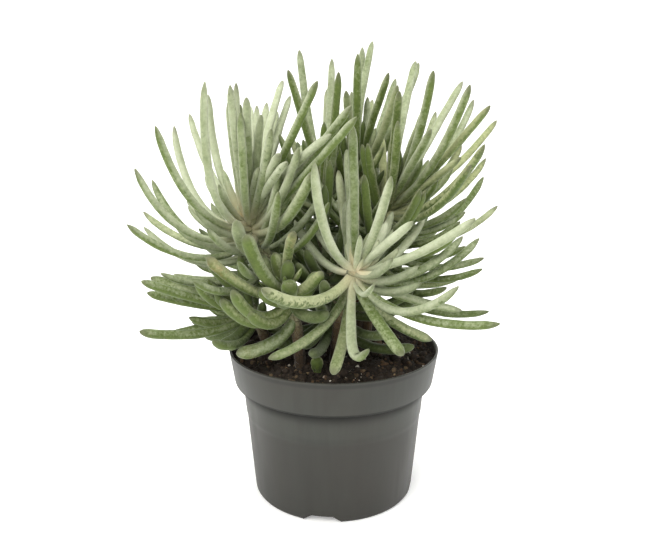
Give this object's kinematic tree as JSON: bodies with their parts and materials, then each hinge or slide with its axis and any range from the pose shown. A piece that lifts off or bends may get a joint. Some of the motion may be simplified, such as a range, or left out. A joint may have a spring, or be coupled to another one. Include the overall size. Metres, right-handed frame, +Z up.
{
  "type": "potted silver coral succulent",
  "caption": "Bushy succulent with long felted silver-green finger leaves in several heads, standing in a round grey nursery pot of soil.",
  "frame": {"origin": "centre of the pot's flat foot, on the surface that it stands on", "axes": "+Z up along the pot's axis; the pictured side faces -Y, with the star shaped front head; +X is to the right in the picture"},
  "size_m": [0.2096, 0.2022, 0.2585],
  "materials": {
    "pot_plastic": "satin moulded plastic",
    "soil": "moist crumbly potting soil",
    "silver_leaf": "matte white felt over green skin",
    "young_leaf": "matte green skin with thin felt"
  },
  "bodies": {
    "root": {"pot": "pot_plastic", "soil": "soil", "bud": "young_leaf", "front_head": "silver_leaf", "left_head": "silver_leaf", "right_head": "silver_leaf", "middle_head": "silver_leaf", "tall_head": "silver_leaf", "low_left_shoot": "silver_leaf", "low_front_shoot": "silver_leaf", "inner_shoot": "silver_leaf", "back_head": "silver_leaf", "back_left_head": "silver_leaf"}
  },
  "joints": []
}
